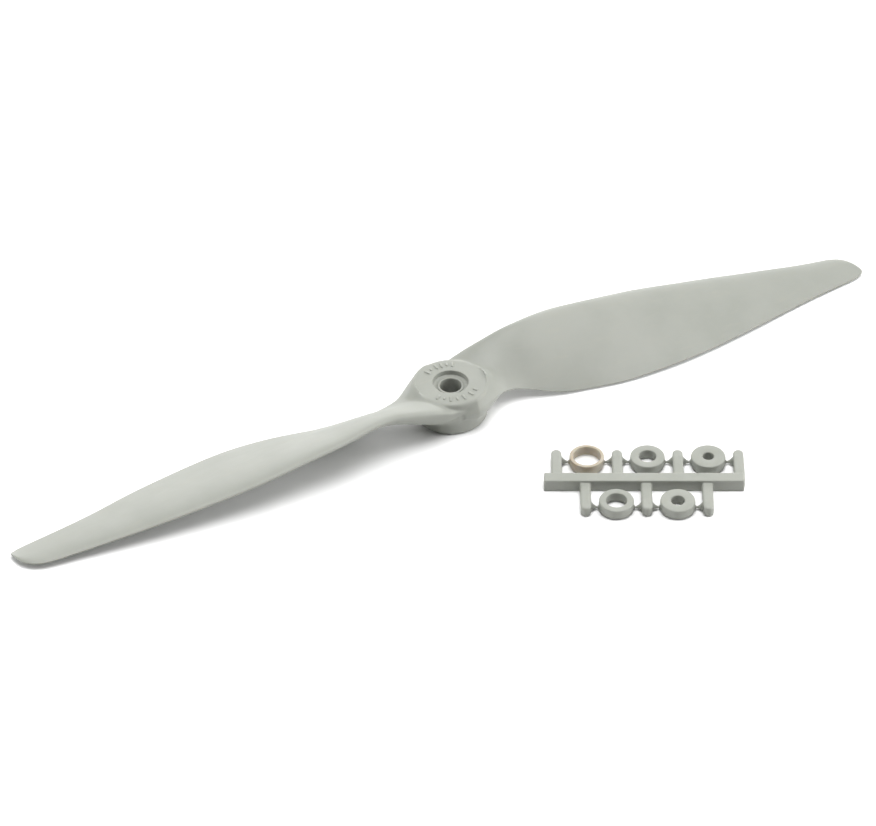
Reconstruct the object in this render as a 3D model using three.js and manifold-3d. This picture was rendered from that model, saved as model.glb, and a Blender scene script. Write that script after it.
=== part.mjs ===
// Two-blade propeller for an electric model aircraft, with its set of five
// adapter rings still on the moulded runner.
//
// Millimetres, +Z up. The origin is on the shaft bore's axis, in the plane of
// the hub's rear face, which is also the plane the object lies on. The blades
// run along +X and -X, and the propeller's front face looks up (+Z). It turns
// counter-clockwise seen from the front, leading edges first.

import * as THREE from 'three';
import { mergeVertices } from 'three/addons/utils/BufferGeometryUtils.js';
import Module from 'manifold-3d';

const wasm = await Module();
wasm.setup();

// ---------- driving dimensions ----------
const TIP_RADIUS = 139.7;          // 11 inch diameter

const HUB_DIAMETER = 21.5;
const HUB_HEIGHT = 11.4;
const HUB_REAR_ROUND = 1.0;        // edge round at the rear face
const HUB_FRONT_ROUND = 1.1;
const BORE_DIAMETER = 6.35;        // 1/4 inch
const FRONT_RECESS_DIAMETER = 10.4;
const FRONT_RECESS_DEPTH = 1.6;
const BORE_LIP_DIAMETER = 7.8;     // raised rim around the bore in the front recess
const BORE_LIP_HEIGHT = 0.35;
const REAR_RECESS_DIAMETER = 10.2; // takes an adapter ring
const REAR_RECESS_DEPTH = 3.4;
const HUB_SIDES = 60;

const MARK_RADIUS = 7.9;           // ring of plain raised marks on the front face
const MARK_HEIGHT = 0.25;
const MARK_LENGTH = 2.1;
const MARK_WIDTH = 0.75;
const MARK_ANGLES = [58, 70, 82, 94, 108, 120, 214, 228, 242, 256, 271, 290, 306];

// Blade sections: radius; leading edge y, z; trailing edge y, z; how far the
// front and the rear surface stand off the chord line.
const BLADE = [
  [4.0, 11.0, 9.1, -10.3, 6.6, 1.0, 4.9],
  [7.5, 11.2, 10.2, -8.7, 6.5, 1.2, 5.0],
  [11.0, 11.2, 11.4, -7.1, 6.35, 1.5, 4.7],
  [13.5, 11.1, 12.2, -6.0, 6.1, 1.7, 4.1],
  [16.0, 11.05, 12.95, -5.3, 5.75, 1.8, 3.5],
  [19.0, 10.95, 13.9, -5.15, 5.05, 1.95, 2.9],
  [22.0, 10.95, 14.7, -5.45, 4.15, 2.1, 2.3],
  [26.0, 11.15, 15.05, -6.85, 2.9, 2.3, 1.6],
  [30.0, 11.6, 15.0, -8.35, 1.85, 2.4, 1.1],
  [35.0, 12.4, 14.6, -9.7, 1.1, 2.4, 0.8],
  [40.0, 13.05, 13.95, -10.65, 0.8, 2.35, 0.6],
  [46.0, 13.2, 13.15, -12.0, 0.8, 2.3, 0.45],
  [52.0, 13.2, 12.35, -13.05, 0.88, 2.2, 0.35],
  [59.0, 13.25, 11.35, -13.55, 1.15, 2.1, 0.25],
  [66.0, 13.25, 10.35, -13.68, 1.35, 2.0, 0.2],
  [74.0, 12.8, 9.2, -13.3, 1.3, 1.85, 0.15],
  [82.0, 12.1, 8.03, -12.55, 1.2, 1.7, 0.12],
  [90.0, 11.35, 6.95, -11.45, 1.25, 1.55, 0.1],
  [98.0, 10.5, 5.87, -10.22, 1.3, 1.4, 0.1],
  [105.0, 9.65, 4.95, -8.95, 1.15, 1.25, 0.1],
  [112.0, 8.75, 4.13, -7.67, 0.98, 1.15, 0.1],
  [118.0, 7.95, 3.4, -6.7, 0.97, 1.0, 0.1],
  [124.0, 7.15, 2.75, -5.87, 0.98, 0.9, 0.1],
  [129.0, 6.6, 2.35, -5.25, 0.95, 0.8, 0.1],
  [133.0, 6.0, 2.15, -4.82, 0.9, 0.75, 0.1],
  [135.5, 5.1, 2.05, -4.5, 0.85, 0.7, 0.1],
  [137.5, 3.6, 1.9, -4.05, 0.9, 0.65, 0.1],
  [138.8, 1.6, 1.75, -3.6, 1.0, 0.6, 0.1],
  [139.4, -0.3, 1.65, -3.3, 1.2, 0.5, 0.1],
  [TIP_RADIUS, -1.9, 1.55, -3.0, 1.35, 0.4, 0.1],
];
const EDGE_THICKNESS = 0.5;        // trailing edge
const SECTION_STEPS = 11;          // points along each surface of a section

const RING_DIAMETER = 10.0;
const RING_HEIGHT = 3.05;
const RING_EDGE = 0.3;
const RING_BASE = 0.4;             // the rings hang this far above the runner's base
const RING_SIDES = 28;

const PITCH = 17.5;                // between neighbouring rings of a row
const POST_WIDTH = 2.95;
const POST_HEIGHT = 2.9;
const POST_EDGE = 0.3;
const BAR_LENGTH = 57.5;
const BAR_WIDTH = 3.9;
const BAR_HEIGHT = 3.9;
const BAR_DRAFT = 0.1;             // per side, so the moulding leaves the tool
const POST_REACH = 12.95;           // from the bar's centre line to a post's end
const RING_ROW = 9.65;             // from the bar's centre line to the ring centres
const GATE_ROW = 9.9;              // gates sit a little outboard of the ring centres
const GATE_HEIGHT = 0.95;          // axis of the gate's neck
const GATE_ROOT_HEIGHT = 1.3;      // axis of the gate where it leaves the post
const GATE_ROOT_RADIUS = 1.2;
const GATE_NECK_RADIUS = 0.35;
const RING_GAP = 0.3;              // left between a gate's tip and its ring

// Where the ring set lies: the bar's centre, and its turn about Z.
const SET_TURN = -28.404 * Math.PI / 180;
const SET_CENTRE_ALONG = 55.4;
const SET_CENTRE_ACROSS = -33.4;
const BACK_ROW_SHIFT = 1.3;        // row centres along the bar, from its middle
const FRONT_ROW_SHIFT = 0.6;

// ---------- solids ----------
const solid = (geometry) => {
  const bare = geometry.index ? geometry.clone() : geometry;
  bare.deleteAttribute('normal');
  bare.deleteAttribute('uv');
  const merged = mergeVertices(bare, 1e-4);
  return new wasm.Manifold(new wasm.Mesh({
    numProp: 3,
    vertProperties: Float32Array.from(merged.attributes.position.array),
    triVerts: Uint32Array.from(merged.index.array),
  }));
};

const geometryOf = (body) => {
  const mesh = body.getMesh();
  const geometry = new THREE.BufferGeometry();
  const points = new Float32Array(mesh.numVert * 3);
  for (let i = 0; i < mesh.numVert; i++)
    for (let k = 0; k < 3; k++)
      points[3 * i + k] = mesh.vertProperties[mesh.numProp * i + k];
  geometry.setAttribute('position', new THREE.BufferAttribute(points, 3));
  geometry.setIndex(new THREE.BufferAttribute(Uint32Array.from(mesh.triVerts), 1));
  geometry.computeVertexNormals();
  return geometry;
};

// A lathe about +Z from [radius, z] pairs given counter-clockwise: outwards
// along the bottom, up the outside, back along the top.
const turned = (profile, sides) => {
  const geometry = new THREE.LatheGeometry(
    profile.map(([r, z]) => new THREE.Vector2(r, z)), sides);
  geometry.rotateX(Math.PI / 2);
  return geometry;
};

const cylinder = (radius, z0, z1, sides) => {
  const geometry = new THREE.CylinderGeometry(radius, radius, z1 - z0, sides);
  geometry.rotateX(Math.PI / 2);
  geometry.translate(0, 0, (z0 + z1) / 2);
  return geometry;
};

const block = (dx, dy, dz, x, y, z) =>
  new THREE.BoxGeometry(dx, dy, dz).translate(x, y, z);

// ---------- blade ----------
// A section as a closed loop, from the trailing edge along the front surface
// to the leading edge and back along the rear surface.
const swell = (t) => 1.4845 * Math.sqrt(t) - 0.63 * t - 1.758 * t * t
  + 1.4215 * t ** 3 - 0.518 * t ** 4;
const SWELL_TOP = 0.5;

const section = ([r, yl, zl, yt, zt, front, rear]) => {
  const dy = yl - yt, dz = zl - zt, chord = Math.hypot(dy, dz);
  const ny = -dz / chord, nz = dy / chord;
  const at = (t, off) => [r, yl - dy * t + ny * off, zl - dz * t + nz * off];
  const edge = Math.min(EDGE_THICKNESS, chord * 0.3) / 2;
  const loop = [];
  for (let i = 0; i < SECTION_STEPS; i++) {
    const t = (1 + Math.cos(Math.PI * i / SECTION_STEPS)) / 2;
    loop.push(at(t, Math.max(front * swell(t) / SWELL_TOP, 0) + edge * t));
  }
  loop.push(at(0, 0));
  for (let i = SECTION_STEPS - 1; i >= 0; i--) {
    const t = (1 + Math.cos(Math.PI * i / SECTION_STEPS)) / 2;
    loop.push(at(t, -Math.max(rear * swell(t) / SWELL_TOP, 0) - edge * t));
  }
  return loop;
};

const loft = (sections) => {
  const n = sections[0].length, points = [], faces = [];
  for (const loop of sections) for (const p of loop) points.push(...p);
  for (let s = 0; s + 1 < sections.length; s++)
    for (let i = 0; i < n; i++) {
      const a = s * n + i, b = s * n + (i + 1) % n, c = a + n, d = b + n;
      faces.push(a, c, b, b, c, d);
    }
  // The end caps join each front point to the rear point below it.
  for (const [base, outwards] of [[0, false], [(sections.length - 1) * n, true]])
    for (let i = 0; i < n / 2 - 1; i++) {
      const a = base + i, b = base + i + 1;
      const c = base + (n - 1 - i), d = base + (n - 2 - i);
      const strip = b === d ? [[a, b, c]] : [[a, b, c], [b, d, c]];
      for (const [p, q, t] of strip)
        faces.push(...(outwards ? [p, t, q] : [p, q, t]));
    }
  const geometry = new THREE.BufferGeometry();
  geometry.setAttribute('position',
    new THREE.BufferAttribute(Float32Array.from(points), 3));
  geometry.setIndex(faces);
  return geometry;
};

const blade = loft(BLADE.map(section));
const secondBlade = blade.clone().rotateZ(Math.PI);

// ---------- propeller ----------
const R = HUB_DIAMETER / 2;
const hub = turned([
  [0, 0],
  [R - HUB_REAR_ROUND, 0],
  [R - HUB_REAR_ROUND * 0.5, HUB_REAR_ROUND * 0.134],
  [R - HUB_REAR_ROUND * 0.134, HUB_REAR_ROUND * 0.5],
  [R, HUB_REAR_ROUND],
  [R, HUB_HEIGHT - HUB_FRONT_ROUND],
  [R - HUB_FRONT_ROUND * 0.134, HUB_HEIGHT - HUB_FRONT_ROUND * 0.5],
  [R - HUB_FRONT_ROUND * 0.5, HUB_HEIGHT - HUB_FRONT_ROUND * 0.134],
  [R - HUB_FRONT_ROUND, HUB_HEIGHT],
  [0, HUB_HEIGHT],
], HUB_SIDES);

let propeller = solid(hub).add(solid(blade)).add(solid(secondBlade));

// Nothing stands over the front face: it is cut flat and clear as a disc.
propeller = propeller
  .subtract(solid(cylinder(R - 0.02, HUB_HEIGHT, HUB_HEIGHT + 12, HUB_SIDES)))
  .subtract(solid(cylinder(BORE_DIAMETER / 2, -1, HUB_HEIGHT + 1, 40)))
  .subtract(solid(cylinder(FRONT_RECESS_DIAMETER / 2,
    HUB_HEIGHT - FRONT_RECESS_DEPTH, HUB_HEIGHT + 1, 48)))
  .subtract(solid(cylinder(REAR_RECESS_DIAMETER / 2, -1, REAR_RECESS_DEPTH, 48)));

const lip = solid(cylinder(BORE_LIP_DIAMETER / 2,
  HUB_HEIGHT - FRONT_RECESS_DEPTH - 0.4,
  HUB_HEIGHT - FRONT_RECESS_DEPTH + BORE_LIP_HEIGHT, 40))
  .subtract(solid(cylinder(BORE_DIAMETER / 2, 0, HUB_HEIGHT, 40)));
propeller = propeller.add(lip);

for (const degrees of MARK_ANGLES) {
  const mark = block(MARK_LENGTH, MARK_WIDTH, MARK_HEIGHT + 0.3,
    MARK_RADIUS, 0, HUB_HEIGHT + (MARK_HEIGHT - 0.3) / 2)
    .rotateZ(degrees * Math.PI / 180);
  propeller = propeller.add(solid(mark));
}

// ---------- runner that carries the rings ----------
const halfBar = BAR_LENGTH / 2;
const barSection = new THREE.Shape([
  new THREE.Vector2(-BAR_WIDTH / 2, 0),
  new THREE.Vector2(BAR_WIDTH / 2, 0),
  new THREE.Vector2(BAR_WIDTH / 2 - BAR_DRAFT, BAR_HEIGHT - 0.3),
  new THREE.Vector2(BAR_WIDTH / 2 - BAR_DRAFT - 0.3, BAR_HEIGHT),
  new THREE.Vector2(-BAR_WIDTH / 2 + BAR_DRAFT + 0.3, BAR_HEIGHT),
  new THREE.Vector2(-BAR_WIDTH / 2 + BAR_DRAFT, BAR_HEIGHT - 0.3),
]);
const bar = new THREE.ExtrudeGeometry(barSection,
  { depth: BAR_LENGTH, bevelEnabled: false });
bar.rotateX(Math.PI / 2).rotateZ(Math.PI / 2);
bar.translate(-halfBar, 0, 0);

const post = (x, side) => {
  const w = POST_WIDTH / 2, end = POST_REACH - w;
  const outline = new THREE.Shape();
  outline.moveTo(-w + POST_EDGE, 0.6);
  outline.lineTo(w - POST_EDGE, 0.6);
  outline.lineTo(w - POST_EDGE, end);
  outline.absarc(0, end, w - POST_EDGE, 0, Math.PI, false);
  outline.lineTo(-w + POST_EDGE, 0.6);
  const geometry = new THREE.ExtrudeGeometry(outline, {
    depth: POST_HEIGHT - 2 * POST_EDGE, steps: 1, curveSegments: 8,
    bevelEnabled: true, bevelThickness: POST_EDGE, bevelSize: POST_EDGE,
    bevelSegments: 1,
  });
  geometry.translate(0, 0, POST_EDGE);
  if (side < 0) geometry.rotateZ(Math.PI);
  geometry.translate(x, 0, 0);
  return geometry;
};

// A gate from the post at fromX towards the ring at toX: a flared root that
// leans down to a thin neck, which stops just short of the ring.
const gate = (fromX, toX, y) => {
  const way = Math.sign(toX - fromX);
  const start = POST_WIDTH / 2 - 0.42;
  const stop = Math.abs(toX - fromX) - RING_DIAMETER / 2 - RING_GAP;
  const profile = [[0, 0], [GATE_ROOT_RADIUS, 0], [GATE_ROOT_RADIUS, 0.35],
    [0.8, 0.8], [0.52, 1.2], [GATE_NECK_RADIUS, 1.65],
    [GATE_NECK_RADIUS, stop - start], [0, stop - start]];
  const geometry = turned(profile, 10);
  const p = geometry.attributes.position;
  for (let i = 0; i < p.count; i++) {
    const along = p.getZ(i), u = p.getX(i), v = p.getY(i);
    const drop = Math.min(along / 1.75, 1);
    const z = GATE_ROOT_HEIGHT + (GATE_HEIGHT - GATE_ROOT_HEIGHT) * drop + v;
    p.setXYZ(i, fromX + way * (start + along), y - way * u, z);
  }
  return geometry;
};

const backRings = [-1, 0, 1].map((k) => BACK_ROW_SHIFT + k * PITCH);
const backPosts = [-1.5, -0.5, 0.5, 1.5].map((k) => BACK_ROW_SHIFT + k * PITCH);
const frontRings = [-0.5, 0.5].map((k) => FRONT_ROW_SHIFT + k * PITCH);
const frontPosts = [-1, 0, 1].map((k) => FRONT_ROW_SHIFT + k * PITCH);

let runner = solid(bar);
for (const x of backPosts) runner = runner.add(solid(post(x, 1)));
for (const x of frontPosts) runner = runner.add(solid(post(x, -1)));
backRings.forEach((x, i) => {
  runner = runner.add(solid(gate(backPosts[i], x, GATE_ROW)));
  runner = runner.add(solid(gate(backPosts[i + 1], x, GATE_ROW)));
});
frontRings.forEach((x, i) => {
  runner = runner.add(solid(gate(frontPosts[i], x, -GATE_ROW)));
  runner = runner.add(solid(gate(frontPosts[i + 1], x, -GATE_ROW)));
});

// ---------- adapter rings ----------
const ring = (bore) => {
  const a = bore / 2, b = RING_DIAMETER / 2, e = Math.min(RING_EDGE, (b - a) / 4);
  return turned([
    [a + e, 0], [b - e, 0], [b, e], [b, RING_HEIGHT - e],
    [b - e, RING_HEIGHT], [a + e, RING_HEIGHT], [a, RING_HEIGHT - e], [a, e],
    [a + e, 0],
  ], RING_SIDES);
};

// ---------- the assembly ----------
const greyNylon = () => new THREE.MeshStandardMaterial(
  { color: 0xb9bab2, roughness: 0.55, metalness: 0 });
const thinNylon = () => new THREE.MeshStandardMaterial(
  { color: 0xb9a98f, roughness: 0.5, metalness: 0 });

const named = (name, geometry, material) => {
  const mesh = new THREE.Mesh(geometry, material);
  mesh.name = name;
  return mesh;
};

const assembly = new THREE.Group();
assembly.add(named('propeller', geometryOf(propeller), greyNylon()));

const ringSet = new THREE.Group();
ringSet.rotation.z = SET_TURN;
ringSet.position.set(
  SET_CENTRE_ALONG * Math.cos(SET_TURN) - SET_CENTRE_ACROSS * Math.sin(SET_TURN),
  SET_CENTRE_ALONG * Math.sin(SET_TURN) + SET_CENTRE_ACROSS * Math.cos(SET_TURN),
  0);
ringSet.add(named('ring_sprue', geometryOf(runner), greyNylon()));

const RINGS = [
  ['adapter_ring_8mm', 8.0, backRings[0], RING_ROW],
  ['adapter_ring_5mm', 5.0, backRings[1], RING_ROW],
  ['adapter_ring_3mm', 3.2, backRings[2], RING_ROW],
  ['adapter_ring_6mm', 6.0, frontRings[0], -RING_ROW],
  ['adapter_ring_4mm', 4.0, frontRings[1], -RING_ROW],
];
for (const [name, bore, x, y] of RINGS) {
  const mesh = named(name, ring(bore), bore > 7 ? thinNylon() : greyNylon());
  mesh.position.set(x, y, RING_BASE);
  ringSet.add(mesh);
}
assembly.add(ringSet);

export default assembly;
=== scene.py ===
import math

import bmesh
import bpy
import numpy as np
from mathutils import Matrix, Vector


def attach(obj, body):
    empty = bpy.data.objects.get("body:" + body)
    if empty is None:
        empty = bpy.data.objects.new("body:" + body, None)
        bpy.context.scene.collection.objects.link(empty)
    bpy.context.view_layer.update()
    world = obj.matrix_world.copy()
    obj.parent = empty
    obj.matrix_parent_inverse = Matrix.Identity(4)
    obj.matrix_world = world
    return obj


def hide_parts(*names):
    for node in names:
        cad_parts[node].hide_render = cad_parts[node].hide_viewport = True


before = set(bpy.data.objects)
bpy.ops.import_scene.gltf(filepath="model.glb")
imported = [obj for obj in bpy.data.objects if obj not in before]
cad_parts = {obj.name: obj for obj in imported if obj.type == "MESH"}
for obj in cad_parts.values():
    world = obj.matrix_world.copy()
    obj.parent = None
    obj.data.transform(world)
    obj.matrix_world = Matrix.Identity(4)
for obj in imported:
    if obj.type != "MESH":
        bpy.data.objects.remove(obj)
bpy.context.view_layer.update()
MM = 0.001
scene = bpy.context.scene

# ------------------------------------------------------------------ sizes, mm
HUB_R, HUB_H, HUB_FRONT_ROUND, HUB_REAR_ROUND = 10.75, 11.4, 1.1, 1.0
BORE_R, RECESS_R, RECESS_Z, LIP_R, LIP_H = 3.175, 5.2, 9.8, 3.9, 0.35
SEAT_R, SEAT_Z = 5.1, 3.4
# radius; leading edge y, z; trailing edge y, z; front and rear surface off the chord
BLADE = np.array([
    [-1.0, 10.7, 8.0, -11.2, 6.6, 1.0, 4.9],
    [4.0, 11.0, 9.1, -10.3, 6.6, 1.0, 4.9],
    [7.5, 11.2, 10.2, -8.7, 6.5, 1.2, 5.0],
    [11.0, 11.2, 11.4, -7.1, 6.35, 1.5, 4.7],
    [13.5, 11.1, 12.2, -6.0, 6.1, 1.7, 4.1],
    [16.0, 11.05, 12.95, -5.3, 5.75, 1.8, 3.5],
    [19.0, 10.95, 13.9, -5.15, 5.05, 1.95, 2.9],
    [22.0, 10.95, 14.7, -5.45, 4.15, 2.1, 2.3],
    [26.0, 11.15, 15.05, -6.85, 2.9, 2.3, 1.6],
    [30.0, 11.6, 15.0, -8.35, 1.85, 2.4, 1.1],
    [35.0, 12.4, 14.6, -9.7, 1.1, 2.4, 0.8],
    [40.0, 13.05, 13.95, -10.65, 0.8, 2.35, 0.6],
    [46.0, 13.2, 13.15, -12.0, 0.8, 2.3, 0.45],
    [52.0, 13.2, 12.35, -13.05, 0.88, 2.2, 0.35],
    [59.0, 13.25, 11.35, -13.55, 1.15, 2.1, 0.25],
    [66.0, 13.25, 10.35, -13.68, 1.35, 2.0, 0.2],
    [74.0, 12.8, 9.2, -13.3, 1.3, 1.85, 0.15],
    [82.0, 12.1, 8.03, -12.55, 1.2, 1.7, 0.12],
    [90.0, 11.35, 6.95, -11.45, 1.25, 1.55, 0.1],
    [98.0, 10.5, 5.87, -10.22, 1.3, 1.4, 0.1],
    [105.0, 9.65, 4.95, -8.95, 1.15, 1.25, 0.1],
    [112.0, 8.75, 4.13, -7.67, 0.98, 1.15, 0.1],
    [118.0, 7.95, 3.4, -6.7, 0.97, 1.0, 0.1],
    [124.0, 7.15, 2.75, -5.87, 0.98, 0.9, 0.1],
    [129.0, 6.6, 2.35, -5.25, 0.95, 0.8, 0.1],
    [133.0, 6.0, 2.15, -4.82, 0.9, 0.75, 0.1],
    [135.5, 5.1, 2.05, -4.5, 0.85, 0.7, 0.1],
    [137.5, 3.6, 1.9, -4.05, 0.9, 0.65, 0.1],
    [138.8, 1.6, 1.75, -3.6, 1.0, 0.6, 0.1],
    [139.4, -0.3, 1.65, -3.3, 1.2, 0.5, 0.1],
    [139.7, -1.9, 1.55, -3.0, 1.35, 0.4, 0.1],
])
EDGE = 0.5          # trailing edge thickness
MARKS = [(58, "bar"), (70, "short"), (82, "bar"), (94, "bar"), (108, "dot"), (120, "bar"),
         (214, "bar"), (228, "dot"), (242, "bar"), (256, "short"), (271, "bar"), (290, "bar"), (306, "short")]
MARK_R, MARK_H = 7.9, 0.25

SET_TURN = math.radians(-28.404)
SET_ALONG, SET_ACROSS = 55.4, -33.4
PITCH, BACK_SHIFT, FRONT_SHIFT = 17.5, 1.3, 0.6
POST_W, POST_H, POST_REACH, RING_ROW, GATE_ROW = 3.1, 3.15, 13.1, 9.65, 9.9
BAR_L, BAR_W, BAR_H, BAR_DRAFT = 57.5, 3.9, 3.9, 0.1
RING_R, RING_H, RING_BASE = 5.0, 3.05, 0.4
GATE_Z, GATE_ROOT_Z = 0.95, 1.3


# ------------------------------------------------------------------ meshing
def surface_nets(f, origin, h, keep=None):
    """A smooth quad mesh of f = 0 on a regular grid, f < 0 inside. keep(centres) picks cells."""
    nx, ny, nz = f.shape
    s = f < 0
    corners = [(i, j, k) for i in (0, 1) for j in (0, 1) for k in (0, 1)]

    def sub(a, o):
        return a[o[0]:nx - 1 + o[0], o[1]:ny - 1 + o[1], o[2]:nz - 1 + o[2]]

    count = sum(sub(s, o).astype(np.int8) for o in corners)
    active = (count > 0) & (count < 8)
    ci, cj, ck = np.nonzero(active)
    n = len(ci)
    total = np.zeros((n, 3))
    hits = np.zeros(n)
    for a in corners:
        for axis in range(3):
            if a[axis]:
                continue
            b = list(a); b[axis] = 1
            fa = f[ci + a[0], cj + a[1], ck + a[2]]
            fb = f[ci + b[0], cj + b[1], ck + b[2]]
            cross = (fa < 0) != (fb < 0)
            t = np.where(cross, fa / np.where(cross, fa - fb, 1), 0)
            p = np.tile(np.array(a, float), (n, 1))
            p[:, axis] += t
            total += p * cross[:, None]
            hits += cross
    verts = (np.stack([ci, cj, ck], 1) + total / hits[:, None]) * h + origin
    index = -np.ones(active.shape, np.int64)
    index[ci, cj, ck] = np.arange(n)
    quads = []
    for axis in range(3):
        o = [0, 0, 0]; o[axis] = 1
        a, b = s[:nx - o[0], :ny - o[1], :nz - o[2]], s[o[0]:, o[1]:, o[2]:]
        i, j, k = np.nonzero(a != b)
        flip = a[i, j, k]
        u, v = [(1, 2), (2, 0), (0, 1)][axis]
        base = np.stack([i, j, k], 1)
        ok = (base[:, u] > 0) & (base[:, v] > 0) & (base[:, u] < f.shape[u] - 1) & (base[:, v] < f.shape[v] - 1)
        base, flip = base[ok], flip[ok]
        ring = []
        for du, dv in ((-1, -1), (0, -1), (0, 0), (-1, 0)):
            c = base.copy(); c[:, u] += du; c[:, v] += dv
            ring.append(index[c[:, 0], c[:, 1], c[:, 2]])
        q = np.stack(ring, 1)
        q = np.where(flip[:, None], q, q[:, ::-1])
        quads.append(q)
    quads = np.concatenate(quads)
    if keep is not None:
        centres = np.stack([ci + 0.5, cj + 0.5, ck + 0.5], 1) * h + origin
        good = keep(centres)
        quads = quads[good[quads].all(1)]
        used = np.unique(quads)
        new = -np.ones(n, np.int64); new[used] = np.arange(len(used))
        verts, quads = verts[used], new[quads]
    return verts, quads


def settle(verts, f, origin, h, steps=3):
    """Moves points onto f = 0 by its gradient, both read from the grid."""
    g = np.stack(np.gradient(f, h), -1)
    top = np.array(f.shape) - 2

    def read(a, p):
        q = (p - origin) / h
        i = np.clip(np.floor(q).astype(int), 0, top)
        t = q - i
        out = 0
        for dx in (0, 1):
            for dy in (0, 1):
                for dz in (0, 1):
                    w = (t[:, 0] if dx else 1 - t[:, 0]) * (t[:, 1] if dy else 1 - t[:, 1]) * (t[:, 2] if dz else 1 - t[:, 2])
                    value = a[i[:, 0] + dx, i[:, 1] + dy, i[:, 2] + dz]
                    out = out + (value.T * w).T
        return out

    for _ in range(steps):
        value, slope = read(f, verts), read(g, verts)
        step = value / np.maximum((slope ** 2).sum(1), 0.25)
        verts = verts - slope * np.clip(step, -0.5 * h, 0.5 * h)[:, None]
    return verts


def polygon_distance(points, loop):
    """Signed distance from 2-D points to a closed loop, negative inside."""
    a, b = loop, np.roll(loop, -1, 0)
    best = np.full(len(points), 1e9)
    inside = np.zeros(len(points), bool)
    for p, q in zip(a, b):
        d = q - p
        w = points - p
        t = np.clip((w @ d) / (d @ d + 1e-12), 0, 1)
        e = w - t[:, None] * d
        best = np.minimum(best, (e ** 2).sum(1))
        if p[1] != q[1]:
            up = (p[1] <= points[:, 1]) != (q[1] <= points[:, 1])
            inside ^= up & (points[:, 0] < p[0] + (points[:, 1] - p[1]) * d[0] / d[1])
    return np.where(inside, -1, 1) * np.sqrt(best)


def smin(a, b, k):
    h = np.clip(0.5 + 0.5 * (b - a) / k, 0, 1)
    return b + (a - b) * h - k * h * (1 - h)


def new_object(name, verts, faces, smooth_angle=None):
    me = bpy.data.meshes.new(name)
    me.from_pydata([tuple(v) for v in verts], [], [tuple(int(i) for i in f) for f in faces])
    me.validate()
    me.update()
    ob = bpy.data.objects.new(name, me)
    scene.collection.objects.link(ob)
    if smooth_angle is None:
        me.polygons.foreach_set("use_smooth", [True] * len(me.polygons))
    else:
        me.polygons.foreach_set("use_smooth", [True] * len(me.polygons))
        sharp_edges(me, smooth_angle)
    me.update()
    return ob


def sharp_edges(me, angle):
    bm = bmesh.new(); bm.from_mesh(me)
    for e in bm.edges:
        if len(e.link_faces) == 2:
            e.smooth = e.calc_face_angle(0) < angle
    bm.to_mesh(me); bm.free()


def lathe(profile, sides):
    """A closed solid of revolution about Z from [r, z] points; r = 0 ends it on the axis."""
    verts, rows = [], []
    for r, z in profile:
        if r < 1e-9:
            rows.append([len(verts)]); verts.append((0, 0, z))
        else:
            rows.append(list(range(len(verts), len(verts) + sides)))
            verts += [(r * math.cos(2 * math.pi * i / sides), r * math.sin(2 * math.pi * i / sides), z) for i in range(sides)]
    faces = []
    closed = rows if len(rows[0]) > 1 and len(rows[-1]) > 1 else None
    pairs = list(zip(rows, rows[1:])) + ([(rows[-1], rows[0])] if closed else [])
    for a, b in pairs:
        for i in range(sides):
            j = (i + 1) % sides
            if len(a) == 1:
                faces.append((a[0], b[j], b[i]))
            elif len(b) == 1:
                faces.append((a[i], a[j], b[0]))
            else:
                faces.append((a[i], a[j], b[j], b[i]))
    return np.array(verts), faces


def arc(cr, cz, r, a0, a1, n):
    return [(cr + r * math.cos(math.radians(a0 + (a1 - a0) * i / n)),
             cz + r * math.sin(math.radians(a0 + (a1 - a0) * i / n))) for i in range(n + 1)]


# ------------------------------------------------------------------ blade
def swell(t):
    return 1.4845 * np.sqrt(t) - 0.63 * t - 1.758 * t ** 2 + 1.4215 * t ** 3 - 0.518 * t ** 4


def pchip(x, y, q):
    d = np.diff(y) / np.diff(x)
    m = np.zeros(len(x))
    for i in range(1, len(x) - 1):
        if d[i - 1] * d[i] > 0:
            w1, w2 = 2 * (x[i + 1] - x[i]) + (x[i] - x[i - 1]), (x[i + 1] - x[i]) + 2 * (x[i] - x[i - 1])
            m[i] = (w1 + w2) / (w1 / d[i - 1] + w2 / d[i])
    m[0], m[-1] = d[0], d[-1]
    k = np.clip(np.searchsorted(x, q) - 1, 0, len(x) - 2)
    hgt = x[k + 1] - x[k]
    t = (q - x[k]) / hgt
    return ((2 * t ** 3 - 3 * t ** 2 + 1) * y[k] + (t ** 3 - 2 * t ** 2 + t) * hgt * m[k]
            + (-2 * t ** 3 + 3 * t ** 2) * y[k + 1] + (t ** 3 - t ** 2) * hgt * m[k + 1])


_w = np.concatenate([[0], np.cumsum(np.hypot(np.hypot(np.diff(BLADE[:, 0]), np.diff(BLADE[:, 1])), np.diff(BLADE[:, 3])))])
DENSE_U = np.linspace(0, _w[-1], 1600)
DENSE = np.stack([pchip(_w, BLADE[:, c], DENSE_U) for c in range(7)], 1)
_step = DENSE_U[1] - DENSE_U[0]
_kernel = np.exp(-0.5 * (np.arange(-90, 91) * _step / 2.2) ** 2); _kernel /= _kernel.sum()
_soft = np.stack([np.convolve(np.pad(DENSE[:, c] - DENSE[:, 0] * 0, 90, mode="edge"), _kernel, "valid") for c in range(7)], 1)
_soft[:, 0] = DENSE[:, 0]
_mix = np.clip((DENSE[:, 0] - 8) / 8, 0, 1) * np.clip((131 - DENSE[:, 0]) / 8, 0, 1)
_mix = (_mix * _mix * (3 - 2 * _mix))[:, None]
DENSE = DENSE * (1 - _mix) + _soft * _mix


def blade_row(r):
    return np.array([np.interp(r, DENSE[:, 0], DENSE[:, c]) for c in range(7)])


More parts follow.
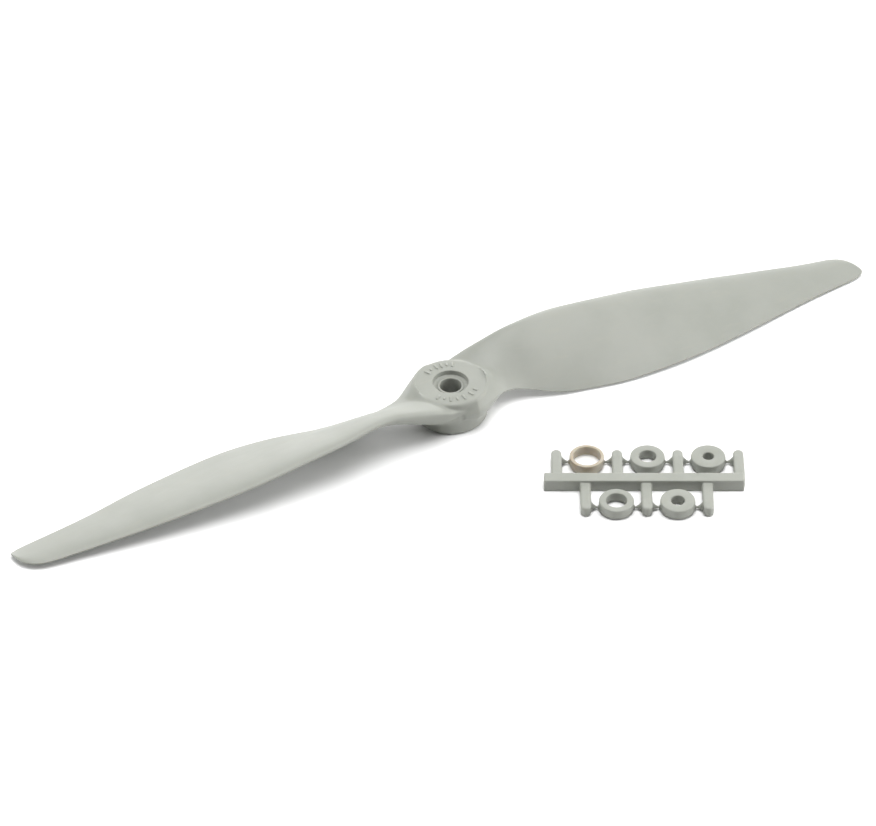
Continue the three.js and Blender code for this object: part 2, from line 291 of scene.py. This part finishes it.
def section(row, n):
    """A closed loop of 2 n + 1 points in the plane x = row[0], trailing edge first along the front."""
    r, yl, zl, yt, zt, front, rear = row
    dy, dz = yl - yt, zl - zt
    chord = math.hypot(dy, dz)
    ny, nz = -dz / chord, dy / chord
    edge = min(EDGE, chord * 0.3) / 2
    t = (1 + np.cos(np.pi * np.arange(n + 1) / n)) / 2
    up = np.maximum(front * swell(t) / 0.5, 0) + edge * t
    hollow = 0.35 * np.clip((r - 30) / 25, 0, 1) * np.clip((136 - r) / 25, 0, 1)
    down = -np.maximum(rear * swell(t) / 0.5, 0) - edge * t + hollow * np.clip(4 * t * (1 - t), 0, 1) ** 1.5
    up[-1] = down[-1] = 0
    # the trailing edge is left blunt: a flat end of its own thickness
    y = yl - dy * t
    z = zl - dz * t
    top = np.stack([y + ny * up, z + nz * up], 1)
    low = np.stack([y + ny * down, z + nz * down], 1)
    return np.concatenate([top, low[-2::-1]])


# ------------------------------------------------------------------ propeller
NET_X, NET_H = 20.0, 0.3
origin = np.array([-NET_X - 2 * NET_H, -14.7, -0.75])
count = np.array([int(round(2 * (NET_X + 2 * NET_H) / NET_H)) + 1, int(29.4 / NET_H) + 1, int(17.4 / NET_H) + 1])
gx, gy, gz = (origin[i] + NET_H * np.arange(count[i]) for i in range(3))
YY, ZZ = np.meshgrid(gy, gz, indexing="ij")
flat = np.stack([YY.ravel(), ZZ.ravel()], 1)
cache = {}


def blade_slice(x):
    key = round(x, 4)
    if key not in cache:
        row = blade_row(max(x, -1.0))
        loop = section(row, 24)
        cache[key] = polygon_distance(flat, loop).reshape(YY.shape)
    return cache[key]


field = np.empty(tuple(count))
for i, x in enumerate(gx):
    rho = np.hypot(x, YY)
    # the hub: a cylinder with rounded edges
    rnd = np.where(ZZ > HUB_H / 2, HUB_FRONT_ROUND, HUB_REAR_ROUND)
    qx, qz = rho - HUB_R + rnd, np.abs(ZZ - HUB_H / 2) - HUB_H / 2 + rnd
    hub = np.hypot(np.maximum(qx, 0), np.maximum(qz, 0)) + np.minimum(np.maximum(qx, qz), 0) - rnd
    right = blade_slice(x)
    left = blade_slice(-x)[::-1, :]       # the other blade is turned half way round
    for side, d in ((1, right), (-1, left)):
        lead = YY * side                  # positive towards this blade's leading edge
        f = np.clip((lead + 3) / 8, 0, 1)
        rise = np.clip((ZZ - 1) / 7, 0, 1)
        rise = rise * rise * (3 - 2 * rise)
        k = (4.2 + 2.8 * rise) * (1 - f * f * (3 - 2 * f)) + 0.9 * f * f * (3 - 2 * f)
        k = np.where(ZZ < 7, np.maximum(k, 2.2), k)
        # a blade ends inside the hub, past its axis
        if side * x < -1:
            d = np.maximum(d, -side * x - 1)
        reach = side * x
        k = k * np.clip((reach + 3) / 6, 0.12, 1)
        hub = smin(hub, d, k)
    # nothing stands over the flat front face
    over = np.maximum(rho - (HUB_R - 0.35), HUB_H - ZZ)
    field[i] = np.maximum(hub, -over)
# gz grid runs from below the rear face, which stays flat at z = 0
field = np.maximum(field, -(ZZ[None] - 0.0))
verts, quads = surface_nets(field, origin, NET_H, keep=lambda c: np.abs(c[:, 0]) < NET_X)
verts = settle(verts, field, origin, NET_H)


def boundary_loop(quads, verts, side):
    edges = {}
    for q in quads:
        for a, b in zip(q, np.roll(q, -1)):
            key = (min(a, b), max(a, b))
            edges[key] = None if key in edges else (int(a), int(b))
    step = {}
    for e in edges.values():
        if e and verts[e[0]][0] * side > 0:
            step[e[0]] = e[1]
    start = next(iter(step))
    loop, at = [start], step[start]
    while at != start:
        loop.append(at); at = step[at]
    return loop


def stitch(points, a, b):
    """Triangles between two closed loops of indices that run the same way."""
    pa, pb = points[a], points[b]
    shift = int(np.argmin(((pb - pa[0]) ** 2).sum(1)))
    b = list(b[shift:]) + list(b[:shift]); pb = points[b]
    i = j = 0
    out = []
    while i < len(a) or j < len(b):
        ai, aj = a[i % len(a)], b[j % len(b)]
        na, nb = a[(i + 1) % len(a)], b[(j + 1) % len(b)]
        if j >= len(b) or (i < len(a) and ((points[na] - points[aj]) ** 2).sum() <= ((points[ai] - points[nb]) ** 2).sum()):
            out.append((ai, aj, na)); i += 1
        else:
            out.append((ai, aj, nb)); j += 1
    return out


NSEC = 40
stations = []
r = NET_X + 0.15
while r < 128:
    stations.append(blade_row(r)); r += 1.15 if r > 24 else 0.7
tail = DENSE[DENSE[:, 0] >= 128.2]
take = np.unique(np.concatenate([np.arange(0, len(tail), 9), [len(tail) - 1]]))
stations += [tail[i] for i in take]
faces = [tuple(q) for q in quads]
points = [tuple(v) for v in verts]
for side in (1, -1):
    first = None
    rows = []
    for row in stations:
        loop = section(row, NSEC)
        x = row[0]
        base = len(points)
        points += [(side * x, side * y, z) for y, z in loop]
        rows.append(list(range(base, base + len(loop))))
    m = len(rows[0])
    for a, b in zip(rows, rows[1:]):
        for i in range(m):
            j = (i + 1) % m
            faces.append((a[i], b[i], b[j], a[j]))
    last = rows[-1]
    for i in range(m // 2):
        q = [last[i], last[i + 1], last[m - 2 - i], last[m - 1 - i]]
        q = q if q[1] != q[2] else [q[0], q[1], q[3]]
        faces.append(tuple(q[::-1]))
    arr = np.array(points)
    edge = boundary_loop(quads, verts, side)
    # both loops run the same way round
    def area(loop):
        p = arr[loop][:, 1:]; n = np.roll(p, -1, 0)
        return (p[:, 0] * n[:, 1] - n[:, 0] * p[:, 1]).sum()
    if area(edge) * area(rows[0]) < 0:
        edge = edge[::-1]
    tri = stitch(arr, edge, rows[0])
    faces += tri

prop = new_object("propeller_moulding", np.array(points) * MM, faces)
bm = bmesh.new(); bm.from_mesh(prop.data)
bmesh.ops.recalc_face_normals(bm, faces=bm.faces)
open_edges = sum(1 for e in bm.edges if len(e.link_faces) != 2)
print("propeller open edges", open_edges, "faces", len(bm.faces))
bm.to_mesh(prop.data); bm.free()


def cut(target, cutter, operation="DIFFERENCE"):
    bpy.context.view_layer.objects.active = target
    mod = target.modifiers.new("b", "BOOLEAN")
    mod.object = cutter
    mod.operation = operation
    mod.solver = "MANIFOLD"
    deps = bpy.context.evaluated_depsgraph_get()
    me = bpy.data.meshes.new_from_object(target.evaluated_get(deps))
    target.modifiers.clear()
    old = target.data
    target.data = me
    bpy.data.meshes.remove(old)
    data = cutter.data
    bpy.data.objects.remove(cutter); bpy.data.meshes.remove(data)


SIDES = 128
e = 0.22
# rounded mouths come from flared cutters
bore = ([(0, -1), (SEAT_R + 1.2, -1), (SEAT_R + 0.3, -0.05), (SEAT_R + 0.12, 0.12), (SEAT_R, 0.35), (SEAT_R, SEAT_Z - 0.25), (SEAT_R - 0.08, SEAT_Z - 0.08), (SEAT_R - 0.25, SEAT_Z),
         (BORE_R + 0.3, SEAT_Z), (BORE_R + 0.08, SEAT_Z + 0.09), (BORE_R, SEAT_Z + 0.3)]
        + [(BORE_R, RECESS_Z + LIP_H - 0.3), (BORE_R + 0.07, RECESS_Z + LIP_H - 0.1), (BORE_R + 0.22, RECESS_Z + LIP_H - 0.0),
           (LIP_R - 0.25, RECESS_Z + LIP_H), (LIP_R - 0.06, RECESS_Z + LIP_H - 0.08), (LIP_R, RECESS_Z + LIP_H - 0.25), (LIP_R + 0.05, RECESS_Z + 0.05),
           (LIP_R + 0.2, RECESS_Z), (RECESS_R - 0.3, RECESS_Z), (RECESS_R - 0.09, RECESS_Z + 0.09), (RECESS_R, RECESS_Z + 0.3),
           (RECESS_R, HUB_H - 0.22), (RECESS_R + 0.07, HUB_H - 0.07), (RECESS_R + 0.22, HUB_H), (RECESS_R + 1.2, HUB_H + 1.0), (0, HUB_H + 1.0)])
v, f = lathe(bore, SIDES)
cutter = new_object("cutter", v * MM, f)
cut(prop, cutter)

# raised marks on the front face: plain bars and dots with rounded tops
for degrees, kind in MARKS:
    length = {"bar": 2.1, "short": 1.4, "dot": 0.8}[kind]
    w = 0.36
    outline = []
    half = max(length / 2 - w, 0.0)
    for i in range(24):
        a = 2 * math.pi * i / 24
        outline.append((w * math.cos(a) + (half if math.cos(a) > 1e-9 else -half), w * math.sin(a)))
    layers = [(-0.3, 1.22), (0.02, 1.12), (0.14, 1.0), (0.21, 0.86), (MARK_H, 0.6)]
    pts, fcs = [], []
    ca, sa = math.cos(math.radians(degrees)), math.sin(math.radians(degrees))
    for z, k in layers:
        for (px, py) in outline:
            cx = half if px > 0 else -half
            x, y = cx + (px - cx) * k, py * k
            x += MARK_R
            pts.append((x * ca - y * sa, x * sa + y * ca, HUB_H + z))
    n = len(outline)
    for L in range(len(layers) - 1):
        for i in range(n):
            j = (i + 1) % n
            fcs.append((L * n + i, L * n + j, (L + 1) * n + j, (L + 1) * n + i))
    fcs.append(tuple(range(n))[::-1])
    fcs.append(tuple(range((len(layers) - 1) * n, len(layers) * n)))
    mark = new_object("mark", np.array(pts) * MM, fcs)
    cut(prop, mark, "UNION")

me = prop.data
me.polygons.foreach_set("use_smooth", [True] * len(me.polygons))
sharp_edges(me, math.radians(38))
me.update()


# ------------------------------------------------------------------ runner
back_rings = [BACK_SHIFT + k * PITCH for k in (-1, 0, 1)]
back_posts = [BACK_SHIFT + k * PITCH for k in (-1.5, -0.5, 0.5, 1.5)]
front_rings = [FRONT_SHIFT + k * PITCH for k in (-0.5, 0.5)]
front_posts = [FRONT_SHIFT + k * PITCH for k in (-1, 0, 1)]
h = 0.2
lo, hi = np.array([-BAR_L / 2 - 0.6, -POST_REACH - 0.6, -0.51]), np.array([BAR_L / 2 + 0.8, POST_REACH + 0.6, BAR_H + 0.5])
num = ((hi - lo) / h).astype(int) + 1
X, Y, Z = np.meshgrid(*(lo[i] + h * np.arange(num[i]) for i in range(3)), indexing="ij")


def rbox(qx, qy, qz, r):
    """Rounded box from the excess of |coordinate| over half size."""
    a, b, c = qx + r, qy + r, qz + r
    return (np.sqrt(np.maximum(a, 0) ** 2 + np.maximum(b, 0) ** 2 + np.maximum(c, 0) ** 2)
            + np.minimum(np.maximum(np.maximum(a, b), c), 0) - r)


draft = BAR_DRAFT * Z / BAR_H
runner = rbox(np.abs(X) - BAR_L / 2 + draft, np.abs(Y) - BAR_W / 2 + draft, np.abs(Z - BAR_H / 2) - BAR_H / 2, 0.28)
for x, side in [(x, 1) for x in back_posts] + [(x, -1) for x in front_posts]:
    w = POST_W / 2 - 0.04 * Z / POST_H
    # a stadium in plan, from the bar to its round end
    py = np.clip(Y * side, 0.4, POST_REACH - POST_W / 2)
    plan = np.hypot(X - x, Y * side - py) - w
    edge = 0.6
    a, b = plan + edge, np.abs(Z - POST_H / 2) - POST_H / 2 + edge
    post = np.hypot(np.maximum(a, 0), np.maximum(b, 0)) + np.minimum(np.maximum(a, b), 0) - edge
    runner = smin(runner, post, 0.35)
gates = [(back_posts[i], back_rings[i], GATE_ROW) for i in range(3)] + [(back_posts[i + 1], back_rings[i], GATE_ROW) for i in range(3)]
gates += [(front_posts[i], front_rings[i], -GATE_ROW) for i in range(2)] + [(front_posts[i + 1], front_rings[i], -GATE_ROW) for i in range(2)]
NECK_STOP = RING_R + 0.42
for px, rx, y in gates:
    way = math.copysign(1, rx - px)
    along = (X - px) * way - POST_W / 2
    stop = abs(rx - px) - NECK_STOP - POST_W / 2
    a = np.clip(along, -1, stop)
    root = np.clip(1 - a / 1.6, 0, 1.3)
    rad = 0.36 + 0.95 * root ** 1.6
    cz = GATE_Z + (GATE_ROOT_Z - GATE_Z) * np.clip(root, 0, 1)
    d = np.hypot(Y - y, Z - cz) - rad
    d = np.maximum(d * 0.8, along - stop)
    d = np.maximum(d, -(along + 1.0))
    runner = smin(runner, d, 0.3)
runner = np.maximum(runner, -Z)
rv, rq = surface_nets(runner, lo, h)
rv = settle(rv, runner, lo, h)
rv[:, 2] = np.maximum(rv[:, 2], 0)
ca, sa = math.cos(SET_TURN), math.sin(SET_TURN)
SET_POS = np.array([SET_ALONG * ca - SET_ACROSS * sa, SET_ALONG * sa + SET_ACROSS * ca, 0])
TURN = np.array([[ca, -sa, 0], [sa, ca, 0], [0, 0, 1]])


def in_row(p):
    return (np.asarray(p) @ TURN.T + SET_POS) * MM


sprue = new_object("ring_runner", in_row(rv), rq)
bm = bmesh.new(); bm.from_mesh(sprue.data)
bmesh.ops.recalc_face_normals(bm, faces=bm.faces)
print("runner open edges", sum(1 for e in bm.edges if len(e.link_faces) != 2), "faces", len(bm.faces))
bm.to_mesh(sprue.data); bm.free()


# ------------------------------------------------------------------ rings
def ring(name, bore_mm, x, y):
    a, b, hgt = bore_mm / 2, RING_R, RING_H
    ro, ri = (0.38, 0.3) if b - a > 1.5 else (0.26, 0.2)
    prof = (arc(a + ri, ri, ri, 180, 270, 4) + arc(b - ro, ro, ro, 270, 360, 5)
            + arc(b - ro, hgt - ro, ro, 0, 90, 5) + arc(a + ri, hgt - ri, ri, 90, 180, 4))
    v, f = lathe(prof, 96)
    ob = new_object(name, in_row(v + np.array([x, y, RING_BASE])), f)
    # what is left of the two gates where they meet the ring
    for way in (1, -1):
        stub = [(0, b - 0.5), (0.92, b - 0.5), (0.86, b - 0.1), (0.68, b + 0.06), (0.5, b + 0.2), (0.38, b + 0.34), (0.36, b + 0.42), (0, b + 0.42)]
        sv, sf = lathe(stub, 24)
        gy = math.copysign(GATE_ROW, y)
        sv = np.stack([x + way * sv[:, 2], gy - way * sv[:, 0], GATE_Z + sv[:, 1]], 1)
        sv[:, 2] = np.maximum(sv[:, 2], RING_BASE + 0.05)
        nub = new_object("nub", in_row(sv), sf)
        cut(ob, nub, "UNION")
    # the bore is opened again where a thin wall let the stub through
    hole = [(0, -1), (a, -1), (a, hgt + 1), (0, hgt + 1)]
    if b - a < 1.2:
        hv, hf = lathe(hole, 96)
        drill = new_object("drill", in_row(hv + np.array([x, y, RING_BASE])), hf)
        cut(ob, drill)
    me = ob.data
    me.polygons.foreach_set("use_smooth", [True] * len(me.polygons))
    sharp_edges(me, math.radians(35))
    me.update()
    return ob


RINGS = [("8mm", 8.0, back_rings[0], RING_ROW), ("5mm", 5.0, back_rings[1], RING_ROW), ("3mm", 3.2, back_rings[2], RING_ROW),
         ("6mm", 6.0, front_rings[0], -RING_ROW), ("4mm", 4.0, front_rings[1], -RING_ROW)]
rings = {n: ring("ring_bush_" + n, bore_mm, x, y) for n, bore_mm, x, y in RINGS}


# ------------------------------------------------------------------ materials
def nylon(name, base, dark, warm, roughness, sss, sss_radius, scale=1.0):
    """Glass-filled nylon: faint flow marks, a fine fibre grain and thin edges that glow a little warmer."""
    m = bpy.data.materials.new(name)
    m.use_nodes = True
    t = m.node_tree
    t.nodes.clear()
    n, l = t.nodes.new, t.links.new
    out = n("ShaderNodeOutputMaterial")
    b = n("ShaderNodeBsdfPrincipled")
    l(b.outputs[0], out.inputs[0])
    co = n("ShaderNodeTexCoord")
    cloud = n("ShaderNodeTexNoise"); cloud.inputs["Scale"].default_value = 55 * scale
    cloud.inputs["Detail"].default_value = 4; cloud.inputs["Roughness"].default_value = 0.55
    l(co.outputs["Object"], cloud.inputs["Vector"])
    stretch = n("ShaderNodeMapping"); stretch.inputs["Scale"].default_value = (0.28, 1.0, 1.0)
    l(co.outputs["Object"], stretch.inputs["Vector"])
    flow = n("ShaderNodeTexNoise"); flow.inputs["Scale"].default_value = 420 * scale
    flow.inputs["Detail"].default_value = 3; flow.inputs["Distortion"].default_value = 0.6
    l(stretch.outputs[0], flow.inputs["Vector"])
    grain = n("ShaderNodeTexNoise"); grain.inputs["Scale"].default_value = 2600 * scale
    grain.inputs["Detail"].default_value = 2
    l(co.outputs["Object"], grain.inputs["Vector"])
    mix1 = n("ShaderNodeMix"); mix1.data_type = "RGBA"
    ramp = n("ShaderNodeMapRange"); ramp.inputs[1].default_value = 0.36; ramp.inputs[2].default_value = 0.64
    l(cloud.outputs["Fac"], ramp.inputs[0])
    l(ramp.outputs[0], mix1.inputs[0])
    mix1.inputs[6].default_value = (*dark, 1); mix1.inputs[7].default_value = (*base, 1)
    mix2 = n("ShaderNodeMix"); mix2.data_type = "RGBA"
    r2 = n("ShaderNodeMapRange"); r2.inputs[1].default_value = 0.55; r2.inputs[2].default_value = 0.75
    r2.inputs[4].default_value = 0.3
    l(flow.outputs["Fac"], r2.inputs[0])
    l(r2.outputs[0], mix2.inputs[0])
    l(mix1.outputs[2], mix2.inputs[6]); mix2.inputs[7].default_value = (*warm, 1)
    l(mix2.outputs[2], b.inputs["Base Color"])
    rr = n("ShaderNodeMapRange"); rr.inputs[3].default_value = roughness - 0.07; rr.inputs[4].default_value = roughness + 0.09
    l(flow.outputs["Fac"], rr.inputs[0])
    l(rr.outputs[0], b.inputs["Roughness"])
    add = n("ShaderNodeMath"); add.operation = "MULTIPLY_ADD"
    l(flow.outputs["Fac"], add.inputs[0]); add.inputs[1].default_value = 0.6
    l(grain.outputs["Fac"], add.inputs[2])
    bump = n("ShaderNodeBump"); bump.inputs["Strength"].default_value = 0.28; bump.inputs["Distance"].default_value = 0.00006
    l(add.outputs[0], bump.inputs["Height"])
    l(bump.outputs[0], b.inputs["Normal"])
    b.inputs["IOR"].default_value = 1.5
    b.inputs["Specular IOR Level"].default_value = 0.45
    if sss:
        b.inputs["Subsurface Weight"].default_value = sss
        b.inputs["Subsurface Radius"].default_value = sss_radius
        b.inputs["Subsurface Scale"].default_value = 0.001
    return m


GREY = nylon("grey_glass_filled_nylon", (0.27, 0.278, 0.25), (0.246, 0.256, 0.228), (0.29, 0.289, 0.25), 0.5, 0.1, (1.2, 1.1, 0.7))
GREY2 = nylon("grey_nylon_rings", (0.28, 0.288, 0.259), (0.25, 0.26, 0.23), (0.3, 0.299, 0.259), 0.48, 0.08, (1.2, 1.1, 0.7), 1.4)
TAN = nylon("thin_nylon_ring", (0.37, 0.345, 0.285), (0.34, 0.295, 0.22), (0.42, 0.41, 0.36), 0.42, 0.3, (2.0, 1.2, 0.6), 1.6)

for o, material, node, body, mslot in (
        [(prop, GREY, "propeller", "propeller", "grey_nylon"), (sprue, GREY2, "ring_sprue", "ring_set", "grey_nylon")]
        + [(rings[k], TAN if k == "8mm" else GREY2, "adapter_ring_" + k, "ring_" + k, "ring_8_nylon" if k == "8mm" else "grey_nylon") for k in rings]):
    o.data.materials.clear()
    o.data.materials.append(material)
    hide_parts(node)
    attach(o, body)

for name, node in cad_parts.items():
    node.data.materials.clear()
    node.data.materials.append(TAN if name == "adapter_ring_8mm" else GREY)

# ------------------------------------------------------------------ floor
fm = bpy.data.materials.new("studio_floor")
fm.use_nodes = True
t = fm.node_tree
fb = t.nodes["Principled BSDF"]
fn = t.nodes.new("ShaderNodeTexNoise"); fn.inputs["Scale"].default_value = 3
fr = t.nodes.new("ShaderNodeMapRange"); fr.inputs[3].default_value = 0.86; fr.inputs[4].default_value = 0.9
fc = t.nodes.new("ShaderNodeCombineColor")
t.links.new(fn.outputs["Fac"], fr.inputs[0])
for i in range(3):
    t.links.new(fr.outputs[0], fc.inputs[i])
t.links.new(fc.outputs[0], fb.inputs["Base Color"])
fb.inputs["Roughness"].default_value = 0.7
fb.inputs["Specular IOR Level"].default_value = 0.15
floor = new_object("floor", [(-3, -3, -0.00002), (3, -3, -0.00002), (3, 3, -0.00002), (-3, 3, -0.00002)], [(0, 1, 2, 3)])
floor.data.materials.append(fm)

# ------------------------------------------------------------------ camera
EL, PHI, F, S = math.radians(40.239), math.radians(28.404), 4989.0, 3.42255
U0, V0, CU, CV = 450.53, 411.76, 438.0, 413.0
D = F / S
a, b = (U0 - CU) / F * D, -(V0 - CV) / F * D
right = Vector((1, 0, 0))
up = Vector((0, math.sin(EL), math.cos(EL)))
look = Vector((0, math.cos(EL), -math.sin(EL)))
pos = -a * right - b * up - D * look
turn = Matrix.Rotation(-PHI, 3, "Z")
cam_data = bpy.data.cameras.new("camera")
cam = bpy.data.objects.new("camera", cam_data)
scene.collection.objects.link(cam)
rot = Matrix((turn @ right, turn @ up, -(turn @ look))).transposed()
cam.matrix_world = Matrix.Translation((turn @ pos) * MM) @ rot.to_4x4()
cam_data.sensor_width = 36
cam_data.lens = F * 36 / 876
cam_data.clip_start, cam_data.clip_end = 0.01, 20
scene.camera = cam


# ------------------------------------------------------------------ light
def area(name, view_pos, aim, size, power, size_y=None):
    """A soft box, placed in the camera's own frame: x right, y away, z up."""
    d = bpy.data.lights.new(name, "AREA")
    d.shape = "RECTANGLE"; d.size = size; d.size_y = size_y or size
    d.energy = power
    o = bpy.data.objects.new(name, d)
    p = turn @ Vector(view_pos)
    q = turn @ Vector(aim)
    o.location = p
    o.rotation_euler = (q - p).to_track_quat("-Z", "Y").to_euler()
    scene.collection.objects.link(o)
    return o


area("top", (0.1, 0.0, 1.7), (0, 0, 0), 1.3, 39.5)
area("back", (0.0, 1.9, 0.55), (0, 0, 0), 2.4, 29, 0.9)
area("right", (1.9, 0.1, 0.7), (0, 0, 0), 1.4, 36, 1.0)
area("left", (-1.9, 0.2, 0.7), (0, 0, 0), 1.4, 24, 1.0)
world = bpy.data.worlds.new("studio")
scene.world = world
world.use_nodes = True
world.node_tree.nodes["Background"].inputs[0].default_value = (1, 1, 1, 1)
world.node_tree.nodes["Background"].inputs[1].default_value = 0.05
scene.view_settings.view_transform = "Standard"
scene.view_settings.look = "None"
scene.view_settings.exposure = 0
scene.view_settings.gamma = 1
